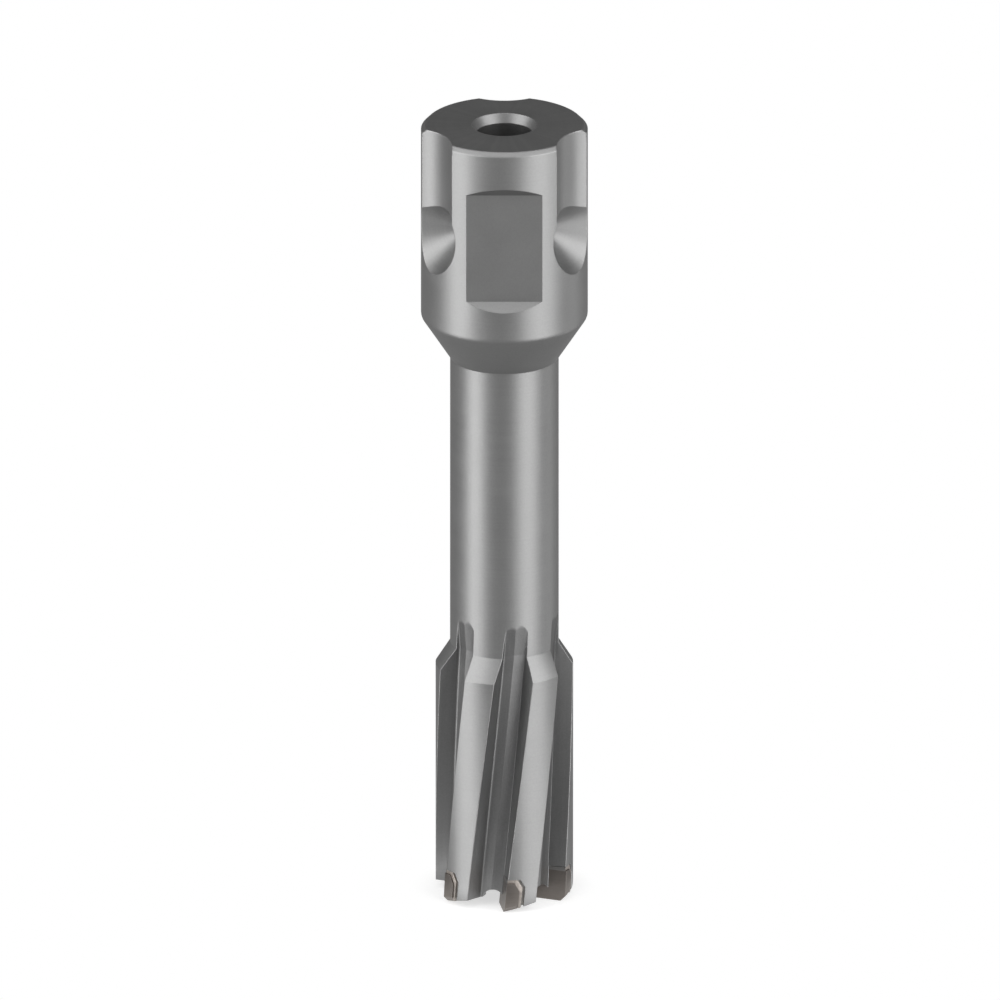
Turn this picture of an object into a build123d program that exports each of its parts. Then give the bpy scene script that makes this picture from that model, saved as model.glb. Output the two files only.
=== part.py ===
"""A carbide-tipped annular cutter with a quick-change shank, in millimetres.

It stands on its six cutting points with the shank up. The origin is on the cutter's axis at
the height of the points, and the near side of the cutter is towards -Y. The body is one piece of
steel: shank, cone, slim neck and a hollow head with six helical flutes. Each tooth carries a
carbide tip, brazed into a milled seat.

Each shape that repeats round the axis is made once as a tool that looks along +X, and is then
turned to its places.
"""

import os
from math import cos, pi, radians, sin, tan

from build123d import *

# Shank
shank_diameter = 19.05
shank_length = 23.0
shank_top_chamfer = 0.5
shank_cone_length = 5.1
shank_cone_fillet = 1.0
neck_fillet = 0.6

# Neck and head
neck_diameter = 12.4
neck_length = 34.7
shoulder_length = 2.6
head_length = 27.75
cutting_diameter = 16.0
side_clearance = 0.15

# Bores
pilot_bore_diameter = 6.35
centre_seat_diameter = 7.5
centre_seat_angle = 60
slug_diameter = 8.8
slug_clearance = 0.1
core_bore_depth = 58.0
core_bore_end_angle = 118

# Drive flats
flat_count = 3
flat_depth = 1.05
flat_length = 12.95
flat_middle_below_top = 11.95
flat_end_slope = 45

# Ball grooves, each leading down to a dimple
groove_count = 3
groove_radius = 5.8
groove_depth = 1.73
dimple_below_top = 11.7
dimple_depth = 4.68
dimple_angle = 90

# Flutes, where the angles are about the axis and a tilt is measured from the radial direction
tooth_count = 6
land_angle = 26.6
helix_lead = 398.0
flute_angle_at_shoulder = 8.0
flute_wall = 1.29
rake_tilt = 9.4
heel_tilt = 15.3
floor_ridge_offset = 0.05
floor_heel_drop = 0.07
floor_rake_drop = 0.15
floor_hollow = 0.03
heel_corner_radius = 0.25
rake_corner_radius = 0.3
runout_above_shoulder = 0.2
runout_slope = 6.85
runout_drift = 0.04

# Gullets, the arches that open the wall between the teeth
gullet_radius = 1.25
gullet_height = 2.0
gullet_offset = 0.25

# Carbide tips and their braze
tip_thickness = 1.55
tip_height = 3.55
tip_corner_width = 0.65
tip_corner_height = 1.0
braze_behind = 0.65
braze_above = 0.4
braze_flush_width = 0.32
braze_sink = 0.5
end_relief_angle = 13.0
steel_setback = 0.15
tip_corner_chamfer = 0.55

# Values that follow from the sizes above
near_side = -90
overreach = 1.0
shank_radius = shank_diameter / 2
neck_radius = neck_diameter / 2
cutting_radius = cutting_diameter / 2
head_radius = cutting_radius - side_clearance
slug_radius = slug_diameter / 2
core_radius = slug_radius + slug_clearance
flute_floor = core_radius + flute_wall

neck_bottom = head_length + shoulder_length
neck_top = neck_bottom + neck_length
shank_bottom = neck_top + shank_cone_length
top = shank_bottom + shank_length
flat_height = top - flat_middle_below_top
dimple_height = top - dimple_below_top

twist_per_mm = 360 / helix_lead
flute_half_angle = (360 / tooth_count - land_angle) / 2
runout_start = neck_bottom + runout_above_shoulder
runout_rise = neck_radius - flute_floor + floor_rake_drop + floor_hollow + overreach
runout_end = runout_start + runout_rise / tan(radians(runout_slope))


def flute_direction(height):
    """The direction of a flute's middle at a height, in degrees about the axis."""
    return near_side + flute_angle_at_shoulder + (height - head_length) * twist_per_mm


tooth_direction = flute_direction(0) + flute_half_angle
groove_direction = near_side + 180 / groove_count


def flute_section(height, rise):
    """The flute's section at a height, with its floor and heel moved outward by the rise.

    It turns with the helix up to the run-out, where the cut leaves the steel in a straight line that
    drifts a little towards the rake wall.
    """
    edge_x = head_radius * cos(radians(flute_half_angle))
    edge_y = head_radius * sin(radians(flute_half_angle))
    rake_slope = tan(radians(flute_half_angle + rake_tilt))
    heel_slope = tan(radians(flute_half_angle + heel_tilt))
    outside_x = head_radius + overreach + rise
    rake_floor_x = flute_floor - floor_rake_drop + rise
    heel_floor_x = flute_floor - floor_heel_drop + rise
    heel_edge_x = edge_x + rise

    turn = min(height, runout_start) * twist_per_mm
    drift = max(height - runout_start, 0) * runout_drift
    rake_y = edge_y + drift
    heel_y = -edge_y + drift

    rake_floor = (rake_floor_x, rake_y + (rake_floor_x - edge_x) * rake_slope)
    rake_outside = (outside_x, rake_y + (outside_x - edge_x) * rake_slope)
    heel_floor = (heel_floor_x, heel_y - (heel_floor_x - heel_edge_x) * heel_slope)
    heel_outside = (outside_x, heel_y - (outside_x - heel_edge_x) * heel_slope)
    ridge = (flute_floor + rise, floor_ridge_offset + drift)

    with BuildSketch(Plane.XY.offset(height).rotated((0, 0, turn))) as section:
        with BuildLine():
            Line(heel_outside, heel_floor)
            Line(heel_floor, ridge)
            SagittaArc(ridge, rake_floor, floor_hollow)
            Line(rake_floor, rake_outside)
            Line(rake_outside, heel_outside)
        make_face()
        corners = section.sketch_local.vertices()
        fillet(corners.sort_by_distance(heel_floor)[0], heel_corner_radius)
        fillet(corners.sort_by_distance(rake_floor)[0], rake_corner_radius)
    return section.sketch


# Flute tool: the helical cut, then its straight run-out through the neck's surface
with BuildPart() as flute:
    with BuildLine() as flute_axis:
        Line((0, 0, -overreach), (0, 0, runout_start))
    with BuildLine() as flute_guide:
        Helix(helix_lead, runout_start + overreach, head_radius, center=(0, 0, -overreach))
    sweep(flute_section(-overreach, 0), path=flute_axis.line, binormal=flute_guide.line.edge())
    loft([flute_section(runout_start, 0), flute_section(runout_end, runout_rise)], ruled=True)

# Gullet tool: a round-topped arch at the cutting end of a flute
with BuildPart() as gullet:
    with BuildSketch(Plane.YZ.offset(core_radius - overreach)):
        with Locations((gullet_offset, gullet_height - gullet_radius)):
            Circle(gullet_radius)
            Rectangle(2 * gullet_radius, gullet_height, align=(Align.CENTER, Align.MAX))
    extrude(amount=flute_wall + 2 * overreach)

# Flat tool: a pocket that is open on both sides, with sloping ends
with BuildPart() as flat:
    flat_x = shank_radius - flat_depth
    flat_outside_x = shank_radius + overreach
    flat_half = flat_length / 2
    flat_outside_half = flat_half + (flat_outside_x - flat_x) / tan(radians(flat_end_slope))
    with BuildSketch(Plane.XZ):
        with BuildLine():
            Polyline(
                (flat_x, flat_height - flat_half),
                (flat_x, flat_height + flat_half),
                (flat_outside_x, flat_height + flat_outside_half),
                (flat_outside_x, flat_height - flat_outside_half),
                close=True,
            )
        make_face()
    extrude(amount=shank_radius, both=True)

# Groove tool: a round channel from the shank's top down to the middle of a conical dimple
with BuildPart() as groove:
    with BuildSketch(Plane.XY.offset(dimple_height)):
        with Locations((shank_radius - groove_depth + groove_radius, 0)):
            Circle(groove_radius)
    extrude(amount=dimple_below_top + overreach)
    with BuildSketch(Plane.XZ):
        with BuildLine():
            dimple_reach = dimple_depth + overreach
            dimple_rim = dimple_reach * tan(radians(dimple_angle / 2))
            Polyline(
                (shank_radius - dimple_depth, dimple_height),
                (shank_radius + overreach, dimple_height),
                (shank_radius + overreach, dimple_height + dimple_rim),
                close=True,
            )
        make_face()
    revolve(axis=Axis((0, 0, dimple_height), (1, 0, 0)))

# The tooth's planes: the rake plane holds the cutting edge, and the seat plane is square to it
outward = (cos(radians(rake_tilt)), sin(radians(rake_tilt)), 0)
backward = (-sin(radians(rake_tilt)), cos(radians(rake_tilt)), 0)
forward = (sin(radians(rake_tilt)), -cos(radians(rake_tilt)), 0)
seat_plane = Plane(origin=(head_radius, 0, 0), x_dir=backward, z_dir=outward)
rake_plane = Plane(origin=(head_radius, 0, 0), x_dir=outward, z_dir=forward)
tip_lean = 2 * pi * flute_floor / helix_lead
wall_reach = head_radius - slug_radius + overreach


def tip_side(behind, above):
    """The side of a tip, as backward and upward points, grown by a margin behind and above."""
    back = tip_thickness + behind
    height = tip_height + above
    corner = height - tip_corner_height
    return [
        (-tip_lean * overreach, -overreach),
        (back - tip_lean * overreach, -overreach),
        (back + tip_lean * corner, corner),
        (back + tip_lean * height - tip_corner_width, height),
        (tip_lean * height, height),
    ]


# Seat tool: the pocket that a tip and its braze fill
with BuildPart() as seat:
    with BuildSketch(seat_plane):
        with BuildLine():
            Polyline(*tip_side(braze_behind, braze_above), close=True)
        make_face()
    extrude(amount=wall_reach, both=True)

# End relief tool: what is ground away below a tooth, rising from the cutting edge to the heel
with BuildPart() as end_relief:
    relief_path = Vector(*backward) + Vector(0, 0, tan(radians(end_relief_angle)))
    relief_start = Plane(rake_plane.origin - relief_path * overreach, outward, forward)
    relief_run = head_radius * radians(land_angle) + 2 * overreach
    with BuildSketch(relief_start):
        with Locations((-wall_reach, 0)):
            Rectangle(wall_reach + overreach, 2 * overreach, align=(Align.MIN, Align.MAX))
    extrude(amount=relief_run * relief_path.length, dir=relief_path)

# Carbide tip, made once: the slab between the slug and the cutting diameter, ground below
with BuildPart() as tip_blank:
    with BuildSketch(seat_plane):
        with BuildLine():
            Polyline(*tip_side(0, 0), close=True)
        make_face()
    extrude(amount=wall_reach, both=True)
    with BuildSketch(Plane.XY.offset(-overreach)):
        Circle(cutting_radius)
        Circle(slug_radius, mode=Mode.SUBTRACT)
    extrude(amount=tip_height + 2 * overreach, mode=Mode.INTERSECT)
    add(end_relief.part, mode=Mode.SUBTRACT)
    ground_face = tip_blank.faces().sort_by(Axis.Z)[0]
    chamfer(ground_face.edges().sort_by(Axis.X)[-1], tip_corner_chamfer)

# Braze, made once: it fills the seat round the tip, flush beside the tip and sunken by the seat's back
with BuildPart() as braze_blank:
    with BuildSketch(seat_plane):
        with BuildLine():
            Polyline(*tip_side(braze_behind, braze_above), close=True)
        make_face()
        with BuildLine():
            Polyline(*tip_side(0, 0), close=True)
        make_face(mode=Mode.SUBTRACT)
    extrude(amount=wall_reach, both=True)
    with BuildSketch(Plane.XY.offset(-overreach)):
        Circle(head_radius)
        Circle(core_radius, mode=Mode.SUBTRACT)
    extrude(amount=tip_height + braze_above + 2 * overreach, mode=Mode.INTERSECT)
    with BuildSketch(seat_plane.offset(-braze_sink)):
        with BuildLine():
            Polyline(*tip_side(braze_behind + overreach, braze_above), close=True)
        make_face()
        with BuildLine():
            Polyline(*tip_side(braze_flush_width, braze_above), close=True)
        make_face(mode=Mode.SUBTRACT)
    extrude(amount=wall_reach, mode=Mode.SUBTRACT)
    with Locations((0, 0, steel_setback)):
        add(end_relief.part, mode=Mode.SUBTRACT)

# Cutter body: turned, bored, then milled
with BuildPart() as cutter_body:
    with BuildSketch(Plane.XZ) as turned_section:
        with BuildLine():
            Polyline(
                (0, 0),
                (head_radius, 0),
                (head_radius, head_length),
                (neck_radius, neck_bottom),
                (neck_radius, neck_top),
                (shank_radius, shank_bottom),
                (shank_radius, top),
                (0, top),
                close=True,
            )
        make_face()
        corners = turned_section.sketch_local.vertices()
        chamfer(corners.sort_by_distance((shank_radius, top))[0], shank_top_chamfer)
        fillet(corners.sort_by_distance((shank_radius, shank_bottom))[0], shank_cone_fillet)
        fillet(corners.sort_by_distance((neck_radius, neck_top))[0], neck_fillet)
    revolve(axis=Axis.Z)

    with BuildSketch(Plane.XZ):
        with BuildLine():
            core_end = core_radius / tan(radians(core_bore_end_angle / 2))
            Polyline(
                (0, -overreach),
                (core_radius, -overreach),
                (core_radius, core_bore_depth),
                (0, core_bore_depth + core_end),
                close=True,
            )
        make_face()
    revolve(axis=Axis.Z, mode=Mode.SUBTRACT)
    with Locations((0, 0, top)):
        CounterSinkHole(
            pilot_bore_diameter / 2,
            centre_seat_diameter / 2,
            counter_sink_angle=centre_seat_angle,
        )

    with PolarLocations(0, flat_count, start_angle=near_side):
        add(flat.part, mode=Mode.SUBTRACT)
    with PolarLocations(0, groove_count, start_angle=groove_direction):
        add(groove.part, mode=Mode.SUBTRACT)
    with PolarLocations(0, tooth_count, start_angle=flute_direction(0)):
        add(flute.part, mode=Mode.SUBTRACT)
    with PolarLocations(0, tooth_count, start_angle=flute_direction(gullet_height)):
        add(gullet.part, mode=Mode.SUBTRACT)
    with PolarLocations(0, tooth_count, start_angle=tooth_direction):
        add(seat.part, mode=Mode.SUBTRACT)
    with Locations((0, 0, steel_setback)):
        with PolarLocations(0, tooth_count, start_angle=tooth_direction):
            add(end_relief.part, mode=Mode.SUBTRACT)

os.makedirs("parts", exist_ok=True)
cutter_body.part.label = "cutter_body"
export_step(cutter_body.part, "parts/cutter_body.step")

# One tip and one braze seam for each tooth, counted from the near tooth towards +X
for number in range(1, tooth_count + 1):
    direction = tooth_direction + (number - 1) * 360 / tooth_count
    with BuildPart() as carbide_tip:
        with PolarLocations(0, 1, start_angle=direction):
            add(tip_blank.part)
    carbide_tip.part.label = f"carbide_tip_{number}"
    export_step(carbide_tip.part, f"parts/carbide_tip_{number}.step")

    with BuildPart() as braze_seam:
        with PolarLocations(0, 1, start_angle=direction):
            add(braze_blank.part)
    braze_seam.part.label = f"braze_seam_{number}"
    export_step(braze_seam.part, f"parts/braze_seam_{number}.step")

print("overall length", round(top, 2), "mm, body volume", round(cutter_body.part.volume / 1000, 2), "cm3")
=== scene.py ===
# %% [markdown]
# An annular cutter: its finishes, the light on it and the camera.
#
# The tool is a hollow drill for steel plate. A round shank with flats, ball grooves and dimples locks
# it in the machine, a slim neck carries a hollow fluted head, and six carbide tips are brazed to the
# head's teeth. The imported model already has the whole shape, so this script adds what solids can't
# hold: how each surface was cut and finished, how its edges have worn, and the light.
#
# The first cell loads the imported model. Lengths in Blender are in metres. The tool stands on the
# origin with its axis up, its tips down and the photographed side towards -Y.

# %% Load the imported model
from math import cos, pi, radians, sin

import bmesh
import bpy
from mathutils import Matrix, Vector


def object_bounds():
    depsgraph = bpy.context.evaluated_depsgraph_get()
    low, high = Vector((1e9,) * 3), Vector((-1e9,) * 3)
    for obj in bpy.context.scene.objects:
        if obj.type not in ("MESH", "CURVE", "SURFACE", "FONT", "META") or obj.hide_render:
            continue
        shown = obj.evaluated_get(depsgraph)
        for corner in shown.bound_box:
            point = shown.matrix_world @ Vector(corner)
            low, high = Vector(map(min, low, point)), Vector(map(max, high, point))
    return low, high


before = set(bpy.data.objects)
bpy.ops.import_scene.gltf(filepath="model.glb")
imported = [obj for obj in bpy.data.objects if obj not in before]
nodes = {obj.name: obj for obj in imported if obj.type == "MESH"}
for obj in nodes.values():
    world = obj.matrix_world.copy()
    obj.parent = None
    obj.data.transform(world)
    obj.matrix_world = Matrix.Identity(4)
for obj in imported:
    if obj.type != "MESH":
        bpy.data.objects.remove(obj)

MM = 0.001
scene = bpy.context.scene
cad_low, cad_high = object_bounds()
print("pieces:", len(nodes), "height in mm:", round((cad_high.z - cad_low.z) / MM, 2))

# %% [markdown]
# The camera looks from straight in front and 20.5 degrees above level, which is what the ellipses of
# the shank's top and of the pilot bore give. The picture has next to no perspective, so the camera is
# orthographic, and one number sets its size: how many pixels a millimetre takes.

# %% Camera
picture_pixels = 1000
pixels_per_mm = 8.761
view_elevation = radians(20.5)
aim = Vector((-0.50, 0.0, 47.4)) * MM
camera_distance = 0.6

camera_data = bpy.data.cameras.new("camera")
camera_data.type = "ORTHO"
camera_data.ortho_scale = picture_pixels / pixels_per_mm * MM
camera_data.clip_start = 0.01
camera_data.clip_end = 10
camera = bpy.data.objects.new("camera", camera_data)
towards_camera = Vector((0, -cos(view_elevation), sin(view_elevation)))
camera.location = aim + towards_camera * camera_distance
camera.rotation_euler = towards_camera.to_track_quat("Z", "Y").to_euler()
scene.collection.objects.link(camera)
scene.camera = camera
scene.view_settings.view_transform = "Standard"
print("the picture is", round(camera_data.ortho_scale / MM, 1), "mm wide")

# %% [markdown]
# Materials here are trees of nodes, and these helpers keep their making short. A value can be a
# number or the output of another node: `feed` sets the first and links the second. `calc` and
# `vector` are one step of arithmetic, `rise` goes smoothly from 0 to 1 between two values, `mix` blends
# two colours, and `sum_up` adds several effects, each with its own share. A bump is a height in metres,
# so finishes are sized like the real ones.

# %% Helpers for node trees
def feed(tree, socket, value):
    """Links a node's output to a socket, or sets the socket to a number."""
    if isinstance(value, bpy.types.NodeSocket):
        tree.links.new(value, socket)
    else:
        socket.default_value = value


def add(tree, kind, settings=None, **inputs):
    """Adds a node, with its settings first and then its inputs by name."""
    made = tree.nodes.new(kind)
    count = len(tree.nodes)
    made.location = (count % 8 * 200, -(count // 8) * 300)
    for name, value in (settings or {}).items():
        setattr(made, name, value)
    for name, value in inputs.items():
        feed(tree, made.inputs[name.replace("_", " ")], value)
    return made


def calc(tree, operation, *values):
    made = add(tree, "ShaderNodeMath", {"operation": operation})
    for socket, value in zip(made.inputs, values):
        feed(tree, socket, value)
    return made.outputs[0]


def vector(tree, operation, *values):
    made = add(tree, "ShaderNodeVectorMath", {"operation": operation})
    for socket, value in zip(made.inputs, values):
        feed(tree, socket, value)
    return made.outputs["Value" if operation in ("DOT_PRODUCT", "LENGTH") else "Vector"]


def rise(tree, value, low, high):
    """0 below low, 1 above high and a smooth step between; low above high makes it fall."""
    made = add(tree, "ShaderNodeMapRange", {"interpolation_type": "SMOOTHSTEP"}, Value=value)
    made.inputs["From Min"].default_value = low
    made.inputs["From Max"].default_value = high
    return made.outputs["Result"]


def mix(tree, share, first, second):
    made = add(tree, "ShaderNodeMix", {"data_type": "RGBA"})
    for index, value in ((0, share), (6, first), (7, second)):
        feed(tree, made.inputs[index], value)
    return made.outputs[2]


def swing(tree, value):
    """How far a noise lies above or below its middle."""
    return calc(tree, "SUBTRACT", value, 0.5)


def inverse(tree, mask):
    return calc(tree, "SUBTRACT", 1.0, mask)


def off_axis(tree, split):
    """A point's distance from the tool's axis."""
    level = add(tree, "ShaderNodeCombineXYZ", X=split["X"], Y=split["Y"]).outputs[0]
    return vector(tree, "LENGTH", level)


def sum_up(tree, base, terms):
    """The base plus each value times its share."""
    for value, share in terms:
        base = calc(tree, "MULTIPLY_ADD", value, share, base)
    return base


def new_material(name):
    """A material with nothing in its tree but the output."""
    material = bpy.data.materials.new(name)
    material.use_nodes = True
    material.node_tree.nodes.clear()
    return material, material.node_tree, material.node_tree.nodes.new("ShaderNodeOutputMaterial")


def new_group(name, inputs, outputs):
    """A node group with named sockets. Each input is (name, kind, value), each output (name, kind)."""
    tree = bpy.data.node_groups.new(name, "ShaderNodeTree")
    for label, kind, value in inputs:
        socket = tree.interface.new_socket(label, in_out="INPUT", socket_type=kind)
        socket.default_value = value
    for label, kind in outputs:
        tree.interface.new_socket(label, in_out="OUTPUT", socket_type=kind)
    return tree, tree.nodes.new("NodeGroupInput").outputs, tree.nodes.new("NodeGroupOutput").inputs


NUMBER, POINT = "NodeSocketFloat", "NodeSocketVector"

# %% [markdown]
# Satin grain. The steel was blasted after machining, which leaves pits a few hundredths of a
# millimetre deep and about two tenths apart, and makes it look grey from every side. Two noises make
# it: a fine one for the pits and a coarse one for patches where the blast was a little stronger.

# %% Group: satin grain
tree, given, out = new_group(
    "satin grain",
    [("Vector", POINT, (0, 0, 0)), ("Pits", NUMBER, 0.2 * MM), ("Patches", NUMBER, 4 * MM)],
    [("Height", NUMBER), ("Patch", NUMBER)],
)
for size, name, detail in (("Pits", "Height", 3.0), ("Patches", "Patch", 2.0)):
    scale = calc(tree, "DIVIDE", 1.0, given[size])
    noise = add(tree, "ShaderNodeTexNoise", Vector=given["Vector"], Scale=scale, Detail=detail)
    tree.links.new(noise.outputs["Fac"], out[name])
grain_group = tree
print("group:", tree.name, "with", len(tree.nodes), "nodes")

# %% [markdown]
# Turning marks. A lathe tool, a drill or a countersink leaves rings round its own axis. A point's
# distance along that axis and its distance from it are the same all the way round a ring, so a noise
# that reads only those two is drawn out into rings, on a cylinder, a cone or a flat end alike.

# %% Group: turning marks
tree, given, out = new_group(
    "turning marks",
    [("Vector", POINT, (0, 0, 0)), ("Centre", POINT, (0, 0, 0)), ("Axis", POINT, (0, 0, 1)),
     ("Pitch", NUMBER, 0.25 * MM)],
    [("Lines", NUMBER)],
)
spot = vector(tree, "SUBTRACT", given["Vector"], given["Centre"])
along = vector(tree, "DOT_PRODUCT", spot, given["Axis"])
foot = add(tree, "ShaderNodeVectorMath", {"operation": "SCALE"}, Vector=given["Axis"], Scale=along)
away = vector(tree, "LENGTH", vector(tree, "SUBTRACT", spot, foot.outputs[0]))
ring = add(tree, "ShaderNodeCombineXYZ", X=along, Y=away)
noise = add(tree, "ShaderNodeTexNoise", Vector=ring.outputs[0], Detail=3.0,
            Scale=calc(tree, "DIVIDE", 1.0, given["Pitch"]))
tree.links.new(noise.outputs["Fac"], out["Lines"])
turning_group = tree
print("group:", tree.name, "with", len(tree.nodes), "nodes")

# %% [markdown]
# Flute marks. The flutes are milled by a cutter that travels along a slow helix, so their marks run
# that way. Turning each point back by the helix's own angle at its height makes the flutes straight,
# and a noise that hardly reads the height is then drawn out along them.

# %% Group: flute marks
helix_lead = 398 * MM

tree, given, out = new_group(
    "flute marks",
    [("Vector", POINT, (0, 0, 0)), ("Turn", NUMBER, 2 * pi / helix_lead),
     ("Pitch", NUMBER, 0.25 * MM)],
    [("Lines", NUMBER)],
)
split = add(tree, "ShaderNodeSeparateXYZ", Vector=given["Vector"])
angle = calc(tree, "MULTIPLY", split.outputs["Z"], calc(tree, "MULTIPLY", given["Turn"], -1.0))
straight = add(tree, "ShaderNodeVectorRotate", {"rotation_type": "Z_AXIS"},
               Vector=given["Vector"], Angle=angle)
drawn = vector(tree, "MULTIPLY", straight.outputs[0], (1.0, 1.0, 0.02))
noise = add(tree, "ShaderNodeTexNoise", Vector=drawn, Detail=3.0,
            Scale=calc(tree, "DIVIDE", 1.0, given["Pitch"]))
tree.links.new(noise.outputs["Fac"], out["Lines"])
flute_group = tree
print("group:", tree.name, "with", len(tree.nodes), "nodes")

# %% [markdown]
# Worn edges and hollows. No machined edge is perfectly sharp: it is broken by about a tenth of a
# millimetre, and handling polishes it, so it shows as a thin light line. The Bevel node gives the
# normal of such a rounded edge, and how far that leans from the true one marks where the edge is.
# Ambient Occlusion tells an inside corner from an outside one. It also finds the deep places, and
# the steel paints shade there by making its colour darker.

# %% Group: edges and hollows
tree, given, out = new_group(
    "edges and hollows",
    [("Radius", NUMBER, 0.12 * MM), ("Reach", NUMBER, 3 * MM)],
    [("Wear", NUMBER), ("Hollow shade", NUMBER), ("Normal", POINT)],
)
rounded = add(tree, "ShaderNodeBevel", {"samples": 8}, Radius=given["Radius"])
surface = add(tree, "ShaderNodeNewGeometry")
lean = vector(tree, "DOT_PRODUCT", rounded.outputs[0], surface.outputs["Normal"])
edge = rise(tree, lean, 0.99, 0.85)
near = add(tree, "ShaderNodeAmbientOcclusion", {"samples": 8}, Distance=0.3 * MM)
outside = rise(tree, near.outputs["AO"], 0.78, 0.95)
far = add(tree, "ShaderNodeAmbientOcclusion", {"samples": 8}, Distance=given["Reach"])
tree.links.new(calc(tree, "MULTIPLY", edge, outside), out["Wear"])
tree.links.new(inverse(tree, far.outputs["AO"]), out["Hollow shade"])
tree.links.new(rounded.outputs[0], out["Normal"])
edge_group = tree
print("group:", tree.name, "with", len(tree.nodes), "nodes")

# %% [markdown]
# A tooth's own distances. The seats and their braze lie at the same place behind each cutting edge, so
# one group turns all six teeth onto one and tells two things: how far a point lies behind the edge, and
# how deep it lies below the head's surface there.

# %% Group: place on a tooth
first_tooth = radians(-90.4)
head_radius = 7.85 * MM
flute_floor_radius = 5.79 * MM
rake_tilt = radians(9.4)
tooth_lean = 2 * pi * flute_floor_radius / helix_lead
tooth_from, tooth_to = radians(-15), radians(45)

tree, given, out = new_group(
    "place on a tooth", [("Vector", POINT, (0, 0, 0))], [("Behind", NUMBER), ("Depth", NUMBER)],
)
split = add(tree, "ShaderNodeSeparateXYZ", Vector=given["Vector"]).outputs
turn = calc(tree, "SUBTRACT", calc(tree, "ARCTAN2", split["Y"], split["X"]), first_tooth)
turn = calc(tree, "WRAP", turn, tooth_to, tooth_from)
away = off_axis(tree, split)
ahead = calc(tree, "SUBTRACT", calc(tree, "MULTIPLY", away, calc(tree, "COSINE", turn)), head_radius)
round_it = calc(tree, "MULTIPLY", away, calc(tree, "SINE", turn))
behind = calc(tree, "MULTIPLY", round_it, cos(rake_tilt))
behind = calc(tree, "MULTIPLY_ADD", ahead, -sin(rake_tilt), behind)
behind = calc(tree, "MULTIPLY_ADD", split["Z"], -tooth_lean, behind)
depth = calc(tree, "MULTIPLY", ahead, -cos(rake_tilt))
depth = calc(tree, "MULTIPLY_ADD", round_it, -sin(rake_tilt), depth)
tree.links.new(behind, out["Behind"])
tree.links.new(depth, out["Depth"])
tooth_group = tree
print("group:", tree.name, "with", len(tree.nodes), "nodes")

# %% [markdown]
# The machined steel. One bar was turned, then milled and drilled, so the marks on a surface tell how
# it was cut. Where a normal has no part that goes round the axis, the surface was turned. Below the
# shoulder everything else is flute, and each dimple has rings of its own. The flats were ground flat.
# Hollows, flutes and the run-outs, where the flutes end in the neck, get painted shade: their colour
# is made darker, and so is the centre seat's. Inside the tips' seats lies the residue of the flux.
# The shank's rim is rounded more than the other edges, so that it slips into the socket. All of this
# could be painted by hand, but masks from place and normal follow the real order of the work.

# %% Sizes that the marks follow
neck_radius = 6.2 * MM
flat_distance = 8.475 * MM
dimple_height = 81.45 * MM
dimple_tip_radius = 4.845 * MM
centre_radius = 3.74 * MM
top_height = cad_high.z
flute_top = 38 * MM
run_out_foot, run_out_full = 27.5 * MM, 30 * MM
seat_front, seat_back, seat_top = 1.0 * MM, 2.2 * MM, 3.95 * MM
seat_skin, seat_fade = 0.06 * MM, 0.02 * MM
residue_colour = (0.60, 0.59, 0.57, 1)
dark_steel, light_steel = (0.06, 0.06, 0.061, 1), (0.62, 0.62, 0.618, 1)
worn_steel = (0.62, 0.62, 0.62, 1)
usual_edge, wider_at_rim = 0.12 * MM, 0.18 * MM
usual_wear, less_at_rim = 0.6, -0.45
flat_directions = [(sin(radians(a)), -cos(radians(a)), 0) for a in (0, 120, 240)]
dimple_directions = [(sin(radians(a)), -cos(radians(a)), 0) for a in (60, 180, 300)]
print("flats face", [tuple(round(v, 2) for v in d) for d in flat_directions])


# %% Material: machined steel
def place(tree, group, **inputs):
    return add(tree, "ShaderNodeGroup", {"node_tree": group}, **inputs).outputs


def furthest(tree, spot, directions):
    """How far a point lies out in whichever of the directions it lies furthest out."""
    reach = vector(tree, "DOT_PRODUCT", spot, directions[0])
    for direction in directions[1:]:
        reach = calc(tree, "MAXIMUM", reach, vector(tree, "DOT_PRODUCT", spot, direction))
    return reach


steel, tree, output = new_material("machined steel")
spot = add(tree, "ShaderNodeTexCoord").outputs["Object"]
split = add(tree, "ShaderNodeSeparateXYZ", Vector=spot).outputs
normal = add(tree, "ShaderNodeNewGeometry").outputs["Normal"]

sideways = add(tree, "ShaderNodeCombineXYZ", X=calc(tree, "MULTIPLY", split["Y"], -1.0),
               Y=split["X"]).outputs[0]
sideways = vector(tree, "NORMALIZE", sideways)
lean = calc(tree, "ABSOLUTE", vector(tree, "DOT_PRODUCT", normal, sideways))
flat_gap = calc(tree, "SUBTRACT", furthest(tree, spot, flat_directions), flat_distance)
on_flat = rise(tree, calc(tree, "ABSOLUTE", flat_gap), 0.08 * MM, 0.04 * MM)
axis_gap = off_axis(tree, split)
below_flute_top = rise(tree, split["Z"], flute_top, flute_top - MM)
in_flute = calc(tree, "MULTIPLY", below_flute_top,
                rise(tree, axis_gap, neck_radius, neck_radius - 0.05 * MM))
turned = calc(tree, "MULTIPLY", rise(tree, lean, 0.14, 0.06), inverse(tree, on_flat))
turned = calc(tree, "MULTIPLY", turned, inverse(tree, in_flute))
fluted = calc(tree, "MULTIPLY", below_flute_top, inverse(tree, turned))
in_run_out = calc(tree, "MULTIPLY", in_flute, rise(tree, split["Z"], run_out_foot, run_out_full))
in_centre = calc(tree, "MULTIPLY", rise(tree, axis_gap, centre_radius + 0.02 * MM, centre_radius),
                 rise(tree, split["Z"], top_height - 6 * MM, top_height - 5 * MM))
level = add(tree, "ShaderNodeSeparateXYZ", Vector=normal).outputs["Z"]
on_top = calc(tree, "MULTIPLY", rise(tree, split["Z"], top_height - 0.3 * MM, top_height - 0.1 * MM),
              rise(tree, level, 0.9, 0.98))

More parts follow.
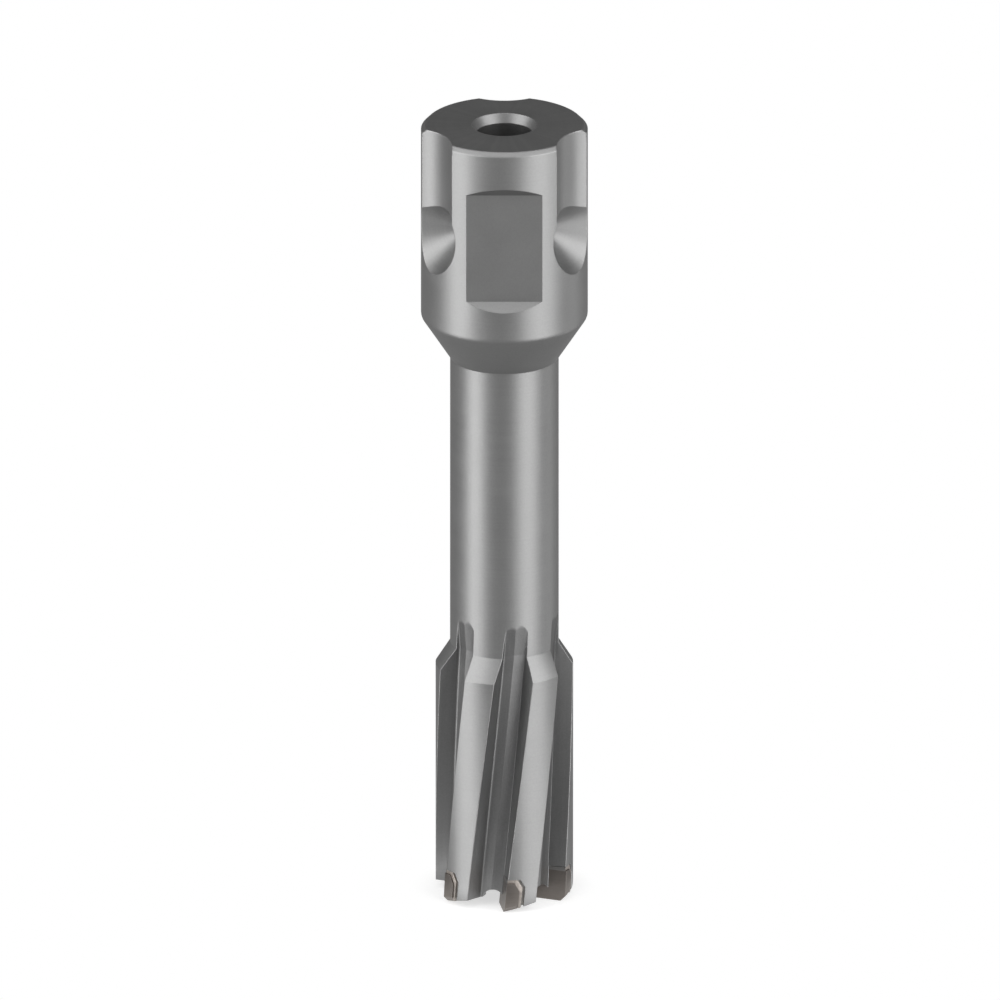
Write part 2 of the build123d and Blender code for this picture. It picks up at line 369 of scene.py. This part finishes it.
dimple_spot = vector(tree, "SUBTRACT", spot, (0, 0, dimple_height))
dimple_out = furthest(tree, dimple_spot, dimple_directions)
dimple_far = vector(tree, "LENGTH", dimple_spot)
dimple_away = calc(tree, "SQRT", calc(tree, "SUBTRACT", calc(tree, "MULTIPLY", dimple_far, dimple_far),
                                      calc(tree, "MULTIPLY", dimple_out, dimple_out)))
cone_gap = calc(tree, "SUBTRACT", calc(tree, "SUBTRACT", dimple_out, dimple_away), dimple_tip_radius)
on_dimple = rise(tree, calc(tree, "ABSOLUTE", cone_gap), 0.12 * MM, 0.06 * MM)

grain = place(tree, grain_group, Vector=spot)
rings = place(tree, turning_group, Vector=spot)["Lines"]
flute_lines = place(tree, flute_group, Vector=spot)["Lines"]
dimple_pitch = add(tree, "ShaderNodeCombineXYZ", X=dimple_out).outputs[0]
dimple_rings = add(tree, "ShaderNodeTexNoise", Vector=dimple_pitch, Scale=1 / (0.3 * MM)).outputs["Fac"]
on_rim = calc(tree, "MULTIPLY", rise(tree, axis_gap, centre_radius + MM, centre_radius + 2 * MM),
              rise(tree, split["Z"], top_height - 1.2 * MM, top_height - 0.9 * MM))
edges = place(tree, edge_group, Radius=calc(tree, "MULTIPLY_ADD", on_rim, wider_at_rim, usual_edge))
wear = calc(tree, "MULTIPLY_ADD", on_rim, less_at_rim, usual_wear)
wear = calc(tree, "MULTIPLY", edges["Wear"], wear)

marks = calc(tree, "MULTIPLY", swing(tree, rings), turned)
flute_marks = calc(tree, "MULTIPLY", swing(tree, flute_lines), fluted)
dimple_marks = calc(tree, "MULTIPLY", swing(tree, dimple_rings), on_dimple)
marks = calc(tree, "ADD", marks, calc(tree, "ADD", flute_marks, dimple_marks))

# The top was faced, and its rings catch the light in spokes, so its tone changes with direction only.
spokes = add(tree, "ShaderNodeTexNoise", Vector=vector(tree, "NORMALIZE", sideways), Scale=9.0,
             Detail=3.0).outputs["Fac"]
spokes = calc(tree, "MULTIPLY", swing(tree, spokes), on_top)

# A tone of 0 is dark steel and 1 is light steel; each effect moves it by its share.
tone = sum_up(tree, 0.5, (
    (swing(tree, grain["Patch"]), 0.06),
    (swing(tree, grain["Height"]), 0.10),
    (marks, 0.08),
    (spokes, 0.15),
    # Painted shade: the steel's colour is made darker in hollows.
    (edges["Hollow shade"], -0.25),
    # Painted shade: the flutes are made darker.
    (fluted, -0.12),
    # Painted shade: the run-outs are made darker still.
    (in_run_out, -0.08),
    # Painted shade: the centre seat inside the bore's mouth is made darker.
    (in_centre, -0.08),
))
colour = mix(tree, tone, dark_steel, light_steel)
colour = mix(tree, wear, colour, worn_steel)

tooth = place(tree, tooth_group, Vector=spot)
seat_masks = (
    rise(tree, tooth["Behind"], seat_back + seat_skin, seat_back + seat_fade),
    rise(tree, split["Z"], seat_top + seat_skin, seat_top + seat_fade),
    rise(tree, tooth["Depth"], 0.10 * MM, 0.18 * MM),
)
in_seat = rise(tree, tooth["Behind"], seat_front, seat_front + 0.1 * MM)
for mask in seat_masks:
    in_seat = calc(tree, "MULTIPLY", in_seat, mask)
colour = mix(tree, in_seat, colour, residue_colour)
metal = inverse(tree, in_seat)

rough = sum_up(tree, 0.42, (
    (grain["Patch"], 0.06),
    (marks, 0.12),
    (edges["Wear"], -0.10),
    (in_seat, 0.2),
))

height = calc(tree, "MULTIPLY_ADD", marks, 0.35, grain["Height"])
bump = add(tree, "ShaderNodeBump", Strength=1.0, Distance=0.004 * MM, Height=height,
           Normal=edges["Normal"])
shader = add(tree, "ShaderNodeBsdfPrincipled", Metallic=metal, Base_Color=colour, Roughness=rough,
             Normal=bump.outputs[0])
tree.links.new(shader.outputs[0], output.inputs["Surface"])
nodes["cutter_body"].material_slots[0].material = steel
print("material:", steel.name, "with", len(tree.nodes), "nodes")

# %% [markdown]
# The carbide tips. Carbide is pressed, sintered and then ground on a diamond wheel. It is darker than
# steel and slightly brown, and the wheel leaves fine straight lines across each face.

# %% Material: ground carbide
carbide, tree, output = new_material("ground carbide")
spot = add(tree, "ShaderNodeTexCoord").outputs["Object"]
grain = place(tree, grain_group, Vector=spot, Pits=0.12 * MM, Patches=1.2 * MM)
wheel_lines = add(tree, "ShaderNodeTexNoise", Scale=1 / (0.12 * MM), Detail=2.0,
                  Vector=vector(tree, "MULTIPLY", spot, (0.05, 0.05, 1.0))).outputs["Fac"]
edges = place(tree, edge_group, Radius=0.06 * MM)
tone = sum_up(tree, 0.5, ((swing(tree, grain["Patch"]), 0.5), (swing(tree, wheel_lines), 0.4)))
colour = mix(tree, tone, (0.165, 0.145, 0.130, 1), (0.25, 0.230, 0.215, 1))
colour = mix(tree, calc(tree, "MULTIPLY", edges["Wear"], 0.5), colour, (0.42, 0.40, 0.38, 1))
rough = calc(tree, "MULTIPLY_ADD", wheel_lines, 0.12, 0.36)
bump = add(tree, "ShaderNodeBump", Strength=1.0, Distance=0.003 * MM, Normal=edges["Normal"],
           Height=calc(tree, "ADD", wheel_lines, grain["Height"]))
shader = add(tree, "ShaderNodeBsdfPrincipled", Metallic=1.0, Base_Color=colour, Roughness=rough,
             Normal=bump.outputs[0])
tree.links.new(shader.outputs[0], output.inputs["Surface"])
print("material:", carbide.name, "with", len(tree.nodes), "nodes")

# %% [markdown]
# The braze. A silver alloy flows between tip and seat and sets with a slightly lumpy skin. It is
# paler than both and a little pink from its copper. By the seat's back it has sunk, and there the dull
# residue of the flux covers it. On the rake side it was ground flush together with the tip. Low down
# it is painted darker, as painted shade.

# %% Material: braze
braze, tree, output = new_material("silver braze")
spot = add(tree, "ShaderNodeTexCoord").outputs["Object"]
grain = place(tree, grain_group, Vector=spot, Pits=0.35 * MM, Patches=1.5 * MM)
edges = place(tree, edge_group, Radius=0.08 * MM)
tooth = place(tree, tooth_group, Vector=spot)
ground = rise(tree, tooth["Behind"], 0.10 * MM, 0.04 * MM)
sunken = calc(tree, "MULTIPLY", rise(tree, tooth["Depth"], 0.14 * MM, 0.22 * MM),
              inverse(tree, ground))
height_up = add(tree, "ShaderNodeSeparateXYZ", Vector=spot).outputs["Z"]
# Painted shade: the braze is made darker towards the bottom, below its upward-facing top.
painted_low_shade = rise(tree, height_up, 2.9 * MM, 2.2 * MM)
colour = mix(tree, grain["Patch"], (0.48, 0.43, 0.39, 1), (0.58, 0.53, 0.49, 1))
colour = mix(tree, painted_low_shade, colour, (0.34, 0.31, 0.285, 1))
colour = mix(tree, sunken, colour, residue_colour)
colour = mix(tree, ground, colour, (0.26, 0.255, 0.25, 1))
metal = inverse(tree, sunken)
rough = sum_up(tree, 0.28, ((grain["Height"], 0.2), (ground, 0.08), (sunken, 0.3)))
bump = add(tree, "ShaderNodeBump", Strength=1.0, Distance=0.03 * MM, Height=grain["Height"],
           Normal=edges["Normal"])
shader = add(tree, "ShaderNodeBsdfPrincipled", Metallic=metal, Base_Color=colour, Roughness=rough,
             Normal=bump.outputs[0])
tree.links.new(shader.outputs[0], output.inputs["Surface"])
for number in range(1, 7):
    nodes[f"carbide_tip_{number}"].material_slots[0].material = carbide
    nodes[f"braze_seam_{number}"].material_slots[0].material = braze
print("material:", braze.name, "with", len(tree.nodes), "nodes")

# %% [markdown]
# Satin steel has hardly a colour of its own: it shows what stands round it. Photographers put such
# tools in a light tent, a closed surround of pale cloth, with tall strip lights to the left and the
# right. The tent here is a sphere that glows evenly, but for a darker opening high up behind the
# tool, which is why the faced top looks dark. Only the camera doesn't see it.

# %% The tent
tent_radius = 0.45
tent_centre = Vector((0, 0, 47)) * MM
tent_glow, opening_glow = 0.33, 0.155
opening_direction = (0, cos(radians(26)), sin(radians(26)))

shell = bmesh.new()
bmesh.ops.create_uvsphere(shell, u_segments=32, v_segments=16, radius=tent_radius)
bmesh.ops.translate(shell, verts=shell.verts, vec=tent_centre)
bmesh.ops.reverse_faces(shell, faces=shell.faces)
tent = bpy.data.objects.new("tent", bpy.data.meshes.new("tent"))
shell.to_mesh(tent.data)
shell.free()
scene.collection.objects.link(tent)
tent.visible_camera = False

cloth, tree, output = new_material("tent cloth")
spot = vector(tree, "SUBTRACT", add(tree, "ShaderNodeTexCoord").outputs["Object"], tuple(tent_centre))
facing = vector(tree, "DOT_PRODUCT", vector(tree, "NORMALIZE", spot), opening_direction)
opening = rise(tree, facing, cos(radians(62)), cos(radians(24)))
glow = calc(tree, "MULTIPLY_ADD", opening, opening_glow - tent_glow, tent_glow)
tree.links.new(add(tree, "ShaderNodeEmission", Strength=glow).outputs[0], output.inputs["Surface"])
tent.data.materials.append(cloth)
print("tent faces:", len(tent.data.polygons))


# %% Strip lights
def softbox(name, azimuth, elevation, width, height, brightness, distance=0.4):
    """An area light that faces the tool; brightness 1 is that of a white wall."""
    light = bpy.data.lights.new(name, "AREA")
    light.shape = "RECTANGLE"
    light.size = width
    light.size_y = height
    light.energy = brightness * pi * width * height
    box = bpy.data.objects.new(name, light)
    turn, lift = radians(azimuth), radians(elevation)
    out = Vector((sin(turn) * cos(lift), -cos(turn) * cos(lift), sin(lift)))
    box.location = tent_centre + out * distance
    box.rotation_euler = out.to_track_quat("Z", "Y").to_euler()
    box.visible_camera = False
    scene.collection.objects.link(box)
    print(name, "power in watts:", round(light.energy, 3))


# Each is name, azimuth and elevation in degrees, width and height in metres, brightness.
for light_box in (
    ("left strip", -64, -12, 0.24, 0.44, 2.25),
    ("right strip", 50, -12, 0.32, 0.44, 1.8),
    ("upper left", -66, 38, 0.42, 0.32, 1.97),
    ("upper right", 60, 38, 0.46, 0.32, 1.97),
    ("overhead", 0, 76, 0.24, 0.24, 0.9),
    ("back right", 110, -20, 0.14, 0.30, 0.6),
):
    softbox(*light_box)

# %% [markdown]
# The floor is a pale disc that takes the tool's soft shadow and fades into the white surround. Camera,
# glossy and transmitted rays see floor and surround as white; all other rays see a plain pale grey,
# so the background adds no light of its own.

# %% Floor and surround
floor_radius, shadow_reach = 11 * MM, 7.5 * MM
floor_white, floor_glow = 0.6, 0.62

disc = bmesh.new()
bmesh.ops.create_circle(disc, cap_ends=True, segments=64, radius=floor_radius)
floor = bpy.data.objects.new("floor", bpy.data.meshes.new("floor"))
disc.to_mesh(floor.data)
disc.free()
scene.collection.objects.link(floor)


def seen_white(tree):
    """1 for camera, glossy and transmitted rays, 0 for the others."""
    path = add(tree, "ShaderNodeLightPath").outputs
    seen = calc(tree, "MAXIMUM", path["Is Camera Ray"], path["Is Glossy Ray"])
    return calc(tree, "MAXIMUM", seen, path["Is Transmission Ray"])


def blend(tree, share, first, second):
    """Mixes two shaders."""
    made = add(tree, "ShaderNodeMixShader")
    for socket, value in zip(made.inputs, (share, first, second)):
        feed(tree, socket, value)
    return made.outputs[0]


pale, tree, output = new_material("pale floor")
spot = add(tree, "ShaderNodeTexCoord").outputs["Object"]
fade = rise(tree, vector(tree, "LENGTH", spot), shadow_reach, floor_radius)
paint = add(tree, "ShaderNodeBsdfDiffuse", Color=(floor_white, floor_white, floor_white, 1)).outputs[0]
light = add(tree, "ShaderNodeEmission", Strength=floor_glow).outputs[0]
lit = add(tree, "ShaderNodeAddShader")
tree.links.new(paint, lit.inputs[0])
tree.links.new(light, lit.inputs[1])
white = add(tree, "ShaderNodeEmission", Strength=1.0).outputs[0]
seen = blend(tree, fade, lit.outputs[0], white)
tree.links.new(blend(tree, seen_white(tree), paint, seen), output.inputs["Surface"])
floor.data.materials.append(pale)

world = bpy.data.worlds.new("white surround")
world.use_nodes = True
scene.world = world
tree = world.node_tree
tree.nodes.clear()
strength = calc(tree, "MULTIPLY_ADD", seen_white(tree), 1.0 - tent_glow, tent_glow)
background = add(tree, "ShaderNodeBackground", Strength=strength)
background.inputs["Color"].default_value = (1, 1, 1, 1)
tree.links.new(background.outputs[0], add(tree, "ShaderNodeOutputWorld").inputs["Surface"])
print("floor radius in mm:", floor_radius / MM)
